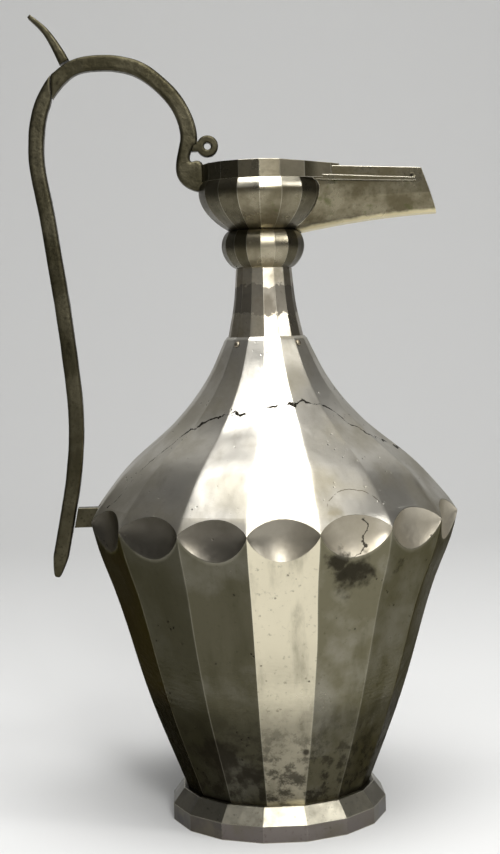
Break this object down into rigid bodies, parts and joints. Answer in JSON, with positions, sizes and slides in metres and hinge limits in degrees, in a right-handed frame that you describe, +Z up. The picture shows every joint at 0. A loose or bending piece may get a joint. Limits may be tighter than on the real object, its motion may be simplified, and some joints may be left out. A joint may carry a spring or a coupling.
{
  "type": "fluted ewer",
  "caption": "Tall faceted metal ewer with a ring of lens-shaped hollows, a knopped neck, an open trough spout and a high hooked handle with a thumb rest.",
  "frame": {"origin": "centre of the foot's underside, on the vessel's axis", "axes": "+Z up along the vessel's axis, +X towards the spout's tip, +Y across the handle's plane"},
  "size_m": [0.1736, 0.1522, 0.341],
  "materials": {
    "body_silver": "worn satin silver-grey metal, tarnished warm grey with dark patches",
    "rivet_silver": "hammered rivet heads in silver-grey metal",
    "head_silver": "brown-grey tarnished metal with bright worn edges",
    "handle_bronze": "dark olive-brown patina with bright worn bevels"
  },
  "bodies": {
    "root": {"foot_ring": "body_silver", "base_plate": "body_silver", "lower_body": "body_silver", "shoulder": "body_silver", "neck_tube": "body_silver", "neck_rivet_1": "rivet_silver", "neck_rivet_2": "rivet_silver", "neck_rivet_3": "rivet_silver", "neck_rivet_4": "rivet_silver", "knop": "head_silver", "cup": "head_silver", "rim_collar": "head_silver", "spout": "head_silver", "spout_bead_near": "head_silver", "spout_bead_far": "head_silver", "handle_back": "handle_bronze", "handle_arch": "handle_bronze", "thumb_rest": "handle_bronze", "hinge_eye": "handle_bronze", "handle_heel": "handle_bronze", "lower_bracket": "handle_bronze"}
  },
  "joints": []
}
